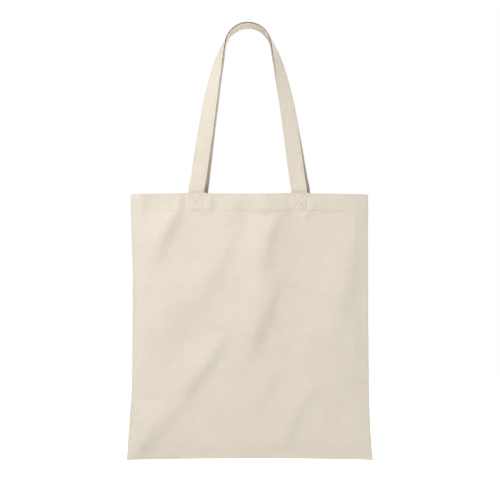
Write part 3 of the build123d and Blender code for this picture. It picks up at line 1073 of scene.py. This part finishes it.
def holes_along(first, last, pitch, shake=hole_shake):
    """Needle holes from one point of the flat cloth to another, a little unevenly spaced."""
    count = max(1, round(np.hypot(*np.subtract(last, first)) / pitch))
    share = np.linspace(0, 1, count + 1)
    x = first[0] + (last[0] - first[0]) * share
    height = first[1] + (last[1] - first[1]) * share
    return x + shaky.uniform(-shake, shake, count + 1), height + shaky.uniform(-shake, shake, count + 1)


print("a stitch has", stitch_rings * stitch_sides, "points")

# %% [markdown]
# ## Hem stitching
# One row runs right across each panel, just above the hem's turned edge. It shows on the face and again
# inside, on the hem's inner ply, where it stops at the seams.

# %% Hem rows
hem_pitch = 3.1 * mm
row_end = 4 * mm
inside_row_end = 14 * mm


def on_face(side, x, height):
    return panel_point(side, x, height), panel_normal(side, x, height)


def on_hem_inside(side, x, height):
    return panel_point(side, x, height, hem_thickness), -panel_normal(side, x, height)


for side in sides:
    rows = []
    for place, stop in ((on_face, row_end), (on_hem_inside, inside_row_end)):
        half = mouth_half - stop
        rows.append(place(side, *holes_along((-half, hem_row), (half, hem_row), hem_pitch)))
    piece = stitch_piece(f"{side}_hem_stitches", rows)
    blend_with_panel(piece)
    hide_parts(f"{side}_hem_thread")
    print(piece.name, sum(len(row[0]) - 1 for row in rows), "stitches")

# %% [markdown]
# ## The straps
# Each handle is one long strip of canvas, folded to a quarter of its width so that the raw edges are
# inside. One long edge is therefore a fold, and the other is two folds that lie together with a dark slit
# between them. The strip is sewn on flat, and turns a quarter on its way up, so that at the top the slit
# faces the front. The path below is close to the frame's: straight legs that touch a round arch. But the
# legs bow a little here, the arch sags, and each loop stands back from its sewn ends.

# %% Outline of a strap
strap_thickness = 2.4 * mm
handle_low, handle_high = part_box("front_handle")
arch_radius = 36 * mm
half_strap = strap_width / 2
half_thick = strap_thickness / 2

arch_sag = 0.6 * mm  # the arches give a little under the bag's weight
arch_z = handle_high.z - arch_radius - half_thick - arch_sag
arch_y = handle_low.y + half_strap
arch_rise = arch_z - bag_height
hang_x = -2.2 * mm
arch_x = {"front": hang_x, "back": -hang_x}  # both arches hang over one point
hand_way = (1, -1)  # the sign of x of the right and the left leg, seen from the strap's own side


def leg_outline(side, hand):
    """Lean and length of a leg: the straight line from its foot that touches the arch."""
    way = hand_way[hand]
    foot_x = way * (ends["front"][hand].x - arch_x[side]) - half_strap
    foot_to_centre = math.hypot(foot_x, arch_rise)
    lean = math.acos(arch_radius / foot_to_centre) - math.atan2(arch_rise, foot_x)
    return lean, math.sqrt(foot_to_centre**2 - arch_radius**2)


for side in sides:
    leans = [round(math.degrees(leg_outline(side, hand)[0]), 1) for hand in (0, 1)]
    print(side, "legs lean", leans, "degrees")

# %% [markdown]
# ## From the outline to the path
# At each step along a leg the strap has a middle, a direction across it and one out of its face. The
# quarter turn dies away down the leg, and near the mouth the leg turns upright into its sewn end, which
# lies flat behind the hem.

# %% Path of a strap
twist_reach = 95 * mm
twist_start = 10 * mm  # how far up the arch the turn begins
twist_ease = 12 * mm  # and how softly
ease_samples = 13
foot_gap = 2.4 * mm  # how far a loop stands behind its sewn ends
sewn_gap = 0.1 * mm  # between the hem and a sewn end
mouth_round = 2 * mm  # the rounded top of the hem
straightening = 22 * mm  # length over which a leg turns upright into its sewn end
upright_below = 4 * mm  # it is upright from so far below the mouth
# how far the right and the left leg of each strap bow sideways
leg_bow = {"front": (0.9 * mm, 0.2 * mm), "back": (0.4 * mm, 1.1 * mm)}
leg_spread = {"front": 0.0, "back": 1.0 * mm}  # the back legs stand a little wider
spread_ease = 45 * mm
fine_leg = 30 * mm  # rings are closest along the end of a leg
bow_radius = (mouth_half**2 + belly**2) / (2 * belly)  # of the hem, seen from above
ring_steps = {"arch": 2.5 * mm, "leg": 3 * mm, "end": 1.5 * mm}


def turned_share(down, leg_length):
    """How much of the quarter turn is left: 1 on the arch, dying away down the leg."""
    easing = np.linspace(-1, 1, ease_samples) * twist_ease
    past = np.maximum(down[:, None] + twist_start + easing, 0)
    left_over = math.exp(-(leg_length + twist_start) / twist_reach)
    share = (np.exp(-past / twist_reach).mean(axis=1) - left_over) / (1 - left_over)
    return np.clip(share, 0, 1)


def leg_frames(side, hand):
    """Middle, across and outward directions of half a strap, from the arch's top down to the sewn end."""
    lean, leg_length = leg_outline(side, hand)
    leg_end = leg_length + bag_height - end_low.z + half_strap * math.sin(lean)
    fine_from = leg_length - fine_leg
    arch_run = arch_radius * (math.pi / 2 - lean)
    down = np.concatenate([
        spaced(-arch_run, 0, ring_steps["arch"])[:-1],
        spaced(0, fine_from, ring_steps["leg"])[:-1],
        spaced(fine_from, leg_end, ring_steps["end"]),
    ])
    way = hand_way[hand]
    turned = turned_share(down, leg_length)
    foot_turn = math.asin(abs(ends["front"][hand].x) / bow_radius)
    turn = foot_turn + (math.pi / 2 - foot_turn) * turned
    upright = smooth((down - leg_length + straightening) / (straightening + upright_below))
    angle = lean + np.maximum(-down, 0) / arch_radius
    tilt = angle * (1 - upright)
    zero = np.zeros_like(down)
    inward = np.stack([-np.cos(tilt), zero, -np.sin(tilt)], axis=-1)
    forward = np.array([0.0, -1.0, 0.0])
    across = inward * np.cos(turn)[:, None] + forward * np.sin(turn)[:, None]
    outward = forward * np.cos(turn)[:, None] - inward * np.sin(turn)[:, None]
    leg_share = np.clip(down / leg_length, 0, 1)
    spread = smooth(down / spread_ease + 1) * (1 - leg_share**2)
    from_centre = arch_radius + leg_spread[side] * spread + half_strap * np.cos(turn)
    straight = np.maximum(down, 0)
    leg_x = from_centre * np.cos(angle) + straight * math.sin(lean)
    z = arch_z + from_centre * np.sin(angle) - straight * math.cos(lean)
    sewn_x = way * (ends["front"][hand].x - arch_x[side])
    x = leg_x + (sewn_x - leg_x) * upright
    world_x = arch_x[side] + way * x + leg_bow[side][hand] * np.sin(math.pi * leg_share)
    hem_height = np.clip(z, hem_bottom, bag_height - mouth_round)
    behind_hem = panel_point(side, -facing[side] * world_x, hem_height, hem_thickness)[:, 1] * -facing[side]
    sewn_y = behind_hem + sewn_gap + half_thick
    loop_y = sewn_y[-1] + foot_gap + (arch_y - sewn_y[-1] - foot_gap) * turned
    y = loop_y + (sewn_y - loop_y) * upright
    mirror = np.array([way, 1, 1])
    return np.stack([world_x, y, z], axis=-1), across * mirror, outward * mirror


def run_along(points):
    """Length of a path from its first point to each of its points."""
    return np.append(0, np.cumsum(np.linalg.norm(np.diff(points, axis=0), axis=1)))


def strap_frames(side):
    """The whole strap, from its right sewn end over the arch to its left one."""
    right = [part[:0:-1] for part in leg_frames(side, 0)]
    middle, across, outward = (np.concatenate(halves) for halves in zip(right, leg_frames(side, 1)))
    if side == "back":
        half_turn = np.array([-1, -1, 1])
        middle, across, outward = middle * half_turn, across * half_turn, outward * half_turn
    return middle, across, outward, run_along(middle)


strap_paths = {side: strap_frames(side) for side in sides}
for side in sides:
    print(f"{side} strap {strap_paths[side][3][-1] / mm:.0f} mm long")

# %% [markdown]
# ## The strap's section
# Going round the strap: a face with a shallow groove under each row of stitches, the round fold of its
# outer edge, the other face, and the two lips with the slit between them.

# %% Section of a strap
slit_half = 0.75 * mm
slit_depth = 8 * mm
edge_inset = 2.5 * mm
strap_dip = 0.3 * mm
dip_width = 0.5 * mm


def strap_ring():
    """Section of the strap: places across it, towards the slit, and out of it."""
    lip = (half_thick - slit_half) / 2
    turn = np.linspace(-math.pi / 2, math.pi / 2, 6)
    lip_middle = half_strap - lip
    row = half_strap - edge_inset
    face = np.concatenate([
        row + np.array([2.0, 1.2, 0.7, 0.35, 0, -0.35, -0.7, -1.2]) * mm,
        np.array([6, 2, -2, -6]) * mm,
        np.array([1.2, 0.7, 0.35, 0, -0.35, -0.7, -1.1]) * mm - row,
    ])
    edge_turn = np.linspace(math.pi / 2, 0, 6)[1:]
    across = np.concatenate([
        [half_strap - slit_depth, lip_middle - 2 * mm],
        lip_middle + lip * np.cos(turn),
        face,
        half_thick - half_strap - half_thick * np.cos(edge_turn),
    ])
    out = np.concatenate([
        [0.08 * mm, 0.45 * mm],
        slit_half + lip + lip * np.sin(turn),
        half_thick - strap_dip * groove(np.abs(face) - row, dip_width),
        half_thick * np.sin(edge_turn),
    ])
    return np.append(across, across[-2::-1]), np.append(out, -out[-2::-1])


print("the section has", len(strap_ring()[0]), "points")

# %% [markdown]
# ## The straps as meshes
# Carrying the section along the path gives one closed skin. A little noise keeps the edges from being
# ruler straight.

# %% Strap meshes
strap_waver = 0.35 * mm
sway_length = 38 * mm
swell_length = 24 * mm
rub_reach = 0.9 * mm
# painted shade inside the slit, a little less of it on the arch
slit_shade = 1.8
arch_slit_less_shade = 1.4  # on the arch the slit is less dark
arch_ease = 20 * mm
# painted shade along the strap's stitch rows
strap_row_shade = 0.25
# a painted shadow line across the strap where it comes out from behind the hem
hem_line_shadow = 0.45  # where a strap leaves the hem
hem_line_shadow_rise = 3.4 * mm
hem_line_shadow_width = 1.2 * mm


def strap_points(path, across, out, seed):
    """Points at places on the section, all along a strap."""
    middle, side_way, face_way, run = path
    sway = strap_waver * bumps(run, 0 * run, seed, sway_length, 1)
    swell = strap_waver * bumps(run, 0 * run, seed + 0.5, swell_length, 1)
    points = middle[:, None] + side_way[:, None] * (across[None, :, None] + sway[:, None, None])
    cupped = swell[:, None] * (across / half_strap)[None, :] ** 2
    return points + face_way[:, None] * (out[None, :] + cupped)[:, :, None]


def blend_with_loop(piece):
    """Bake the piece's transform into its mesh."""
    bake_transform(piece)


strap_seeds = {"front": 11.0, "back": 14.0}
for side in sides:
    across, out = strap_ring()
    path = strap_paths[side]
    points = strap_points(path, across, out, strap_seeds[side])
    rings, count = points.shape[:2]
    girth = np.append(0, np.cumsum(np.hypot(np.diff(across), np.diff(out))))
    cloth = np.stack(np.broadcast_arrays(girth[None, :], path[3][:, None], 0.0), axis=-1)
    in_slit = (np.abs(out) < slit_half) & (across > 0)
    # edges go paler where they rub; the slit gets painted shade
    rub_and_painted_light = np.exp(-(half_strap - np.abs(across)) / rub_reach) * ~in_slit - slit_shade * in_slit
    along_rows = groove(np.abs(across) - half_strap + edge_inset, dip_width) * (out > slit_half)
    y, z = points[:, :, 1], points[:, :, 2]
    # band of painted shadow just above the hem's top
    hem_shadow_band = groove(z - bag_height - hem_line_shadow_rise, hem_line_shadow_width) * (y * facing[side] > 0)
    on_arch = smooth((z - arch_z) / arch_ease)
    wear_and_painted_light = rub_and_painted_light - strap_row_shade * along_rows + arch_slit_less_shade * in_slit * on_arch - hem_line_shadow * hem_shadow_band
    faces = tube_faces(rings, count)
    piece = new_piece(f"{side}_strap", points.reshape(-1, 3), faces, cloth, wear_and_painted_light, canvas)
    blend_with_loop(piece)
    nodes = [f"{side}_handle"] + [f"{side}_handle_{hand}_end" for hand in hands]
    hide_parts(*nodes)
    print(piece.name, len(piece.data.polygons), "faces")

# %% [markdown]
# ## Top stitching on the straps
# A row near each edge holds the strap's folds together, and it shows on both faces. The holes are spaced
# along the strap's length and then placed on its skin, in the grooves that the section already has.

# %% Strap rows
strap_pitch = 3.0 * mm
row_start = 1.5 * mm


def strap_row(path, across, out, seed):
    """Holes and normals of a row along a strap, at one place on its section."""
    count = round(path[3][-1] / strap_pitch)
    at = np.linspace(row_start, path[3][-1] - row_start, count)
    at = at + shaky.uniform(-hole_shake, hole_shake, count)
    on_skin = strap_points(path, np.array([across]), np.array([out]), seed)[:, 0]
    holes = np.stack([np.interp(at, path[3], on_skin[:, k]) for k in range(3)], axis=-1)
    normals = np.stack([np.interp(at, path[3], path[2][:, k]) for k in range(3)], axis=-1)
    return holes, normals * np.sign(out)


for side in sides:
    for edge, across in (("inner", half_strap - edge_inset), ("outer", edge_inset - half_strap)):
        depth = half_thick - strap_dip
        rows = [strap_row(strap_paths[side], across, face * depth, strap_seeds[side]) for face in (1, -1)]
        piece = stitch_piece(f"{side}_strap_{edge}_stitches", rows)
        blend_with_loop(piece)
        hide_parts(f"{side}_handle_{edge}_thread")
        print(piece.name, sum(len(row[0]) - 1 for row in rows), "stitches")

# %% [markdown]
# ## Boxed crosses
# Each strap end is sewn through the hem with a square and a cross. On the face the stitches lie on the
# hem, and inside the bag on the strap's end. They ride with the panel's middle, which moves as one piece.

# %% Box stitches
box_pitch = 2.7 * mm
box_shake = 0.12 * mm


def box_lines(middle_x):
    """Ends of a box's six lines on the flat cloth."""
    left, right = middle_x - box_half_width, middle_x + box_half_width
    corners = [(left, box_low), (right, box_low), (right, box_high), (left, box_high)]
    lines = list(zip(corners, corners[1:] + corners[:1]))
    return lines + [(corners[0], corners[2]), (corners[1], corners[3])]


def on_strap_end(side, x, height):
    points = panel_point(side, x, height, hem_thickness + sewn_gap + strap_thickness)
    return points, -panel_normal(side, x, height)


for side in sides:
    for hand, middle in zip(hands, ends[side]):
        rows = []
        for place in (on_face, on_strap_end):
            rows += [place(side, *holes_along(*line, box_pitch, box_shake)) for line in box_lines(middle.x)]
        piece = stitch_piece(f"{side}_{hand}_box_stitches", rows)
        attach(piece, f"{side}_side")
        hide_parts(f"{side}_{hand}_box_thread")
        print(piece.name, sum(len(row[0]) - 1 for row in rows), "stitches")

# %% [markdown]
# ## Seams inside the bag
# Along the sides and the bottom, the edges of both panels are turned in and lie together, two plies
# thick. They show when one looks in at the mouth. Each is a narrow strip with a slightly wavy raw edge.

# %% Seam edges
side_allowance = 10 * mm
bottom_allowance = 14 * mm
seam_half = 0.7 * mm
seam_start = 1.1 * mm  # clear of the cloth that rolls over at the edge
raw_waver = 0.4 * mm
raw_waver_length = 17 * mm
fray = 1 * mm  # how much of a raw edge is paler


def seam_ring():
    """Section of a seam: shares of its depth, and places out of its middle plane."""
    turn = np.linspace(math.pi / 2, -math.pi / 2, 7)
    share = np.concatenate([[0, 0.3, 0.65], 0.95 + 0.05 * np.cos(turn), [0.65, 0.3, 0]])
    out = np.concatenate([np.full(3, seam_half), seam_half * np.sin(turn), np.full(3, -seam_half)])
    return share, out


def side_place(way, along, depth):
    """A place on a side seam: up the seam, and in from its sewn line."""
    return way * (seam_line(way + 0 * along, along) - depth), along


def bottom_place(_, along, depth):
    return along, foot_rise(along) + depth


seam_low, seam_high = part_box("right_side_seam")
bottom_half = half_width(0.0) - side_allowance
seam_runs = {
    "right": (side_place, 1, spaced(seam_low.z, seam_high.z, coarse), side_allowance),
    "left": (side_place, -1, spaced(seam_low.z, seam_high.z, coarse), side_allowance),
    "bottom": (bottom_place, 1, spaced(-bottom_half, bottom_half, coarse), bottom_allowance),
}
seam_nodes = {"right": "right_side_seam", "left": "left_side_seam", "bottom": "bottom_seam"}
for name, (place, way, along, allowance) in seam_runs.items():
    share, out = seam_ring()
    raw = allowance + raw_waver * bumps(along, 0 * along, 20.0 + way, raw_waver_length, 1)
    depth = seam_start + (raw[:, None] - seam_start) * share[None, :]
    x, z = place(way, np.broadcast_to(along[:, None], depth.shape), depth)
    y = np.broadcast_to(out, depth.shape)
    points = np.stack([x, y, z], axis=-1)
    rings, count = depth.shape
    cloth = np.stack([depth, np.broadcast_to(along[:, None], depth.shape), 0 * depth], axis=-1)
    wear_and_painted_light = smooth((depth - allowance + fray) / fray)
    faces = tube_faces(rings, count)
    piece = new_piece(f"{name}_seam_edges", points.reshape(-1, 3), faces, cloth, wear_and_painted_light, canvas)
    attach(piece, "seams")
    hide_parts(seam_nodes[name])
    print(piece.name, len(piece.data.polygons), "faces")

# %% [markdown]
# ## Overcasting
# The raw edges are overcast: thread runs in a zigzag over one face, round the edge and over the other.
# One long tube follows that path, and a straight row of stitches holds it down on each face.

# %% Overcast threads
overcast_width = 4 * mm
overcast_pitch = 2.6 * mm
overcast_radius = 0.2 * mm
tube_sides = 5
no_thread_way = (0.31, 0.17, 0.93)  # a direction in which no thread runs


def thread_tube(path):
    """Points of a tube along a path, with places on the thread."""
    ahead = unit(np.gradient(path, axis=0))
    first = unit(np.cross(ahead, no_thread_way))
    second = np.cross(ahead, first)
    angle = np.linspace(0, 2 * math.pi, tube_sides, endpoint=False)
    ring = first[:, None] * np.cos(angle)[None, :, None] + second[:, None] * np.sin(angle)[None, :, None]
    around = angle / (2 * math.pi)
    place = np.stack(np.broadcast_arrays(run_along(path)[:, None], around, 0.0), axis=-1)
    return path[:, None] + overcast_radius * ring, place


for name, (place, way, along, allowance) in seam_runs.items():
    inset = overcast_width + 2 * mm
    count = int((along[-1] - along[0] - 2 * inset) / overcast_pitch)
    step = np.arange(count)[:, None] * overcast_pitch + along[0] + inset
    lap = np.array([0.0, 0.25, 0.42, 0.5, 0.58, 0.75]) * overcast_pitch
    lay = np.array([overcast_width, 1.2 * mm, 0.1 * mm, -0.25 * mm, 0.1 * mm, 1.2 * mm])
    lift = np.array([0.1, 1, 0.8, 0, -0.8, -1]) * (seam_half + overcast_radius)
    at = (step + lap).ravel()
    depth = np.tile(allowance - lay, count)
    x, z = place(way, at, depth)
    path = np.stack([x, np.tile(lift, count), z], axis=-1)
    points, cloth = thread_tube(path)
    faces = tube_faces(len(points), tube_sides)
    no_wear = np.zeros(points.shape[:2])
    piece = new_piece(f"{name}_overcast", points.reshape(-1, 3), faces, cloth, no_wear, cotton_thread)
    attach(piece, "seams")
    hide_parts(f"{name}_overcast_thread")
    print(piece.name, count, "laps")

# %% [markdown]
# ## Sheets of cloth
# A panel is cut as wide as the bag with an allowance for each side seam, and as tall as the bag with
# its bottom allowance and its turned hem. A strap is folded to its width.

# %% [markdown]
# ## Size, and the end
# The looks may stand a little proud of the frame, as cloth does, but not change the bag's size. Both
# boxes are printed side by side so that they can be compared.

# %% Sizes and finish
visual_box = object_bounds()
sizes = {"cad": [list(corner) for corner in cad_box], "visual": [list(corner) for corner in visual_box]}
for name, (low, high) in sizes.items():
    print(name, "box in mm:", [round((b - a) / mm, 1) for a, b in zip(low, high)])
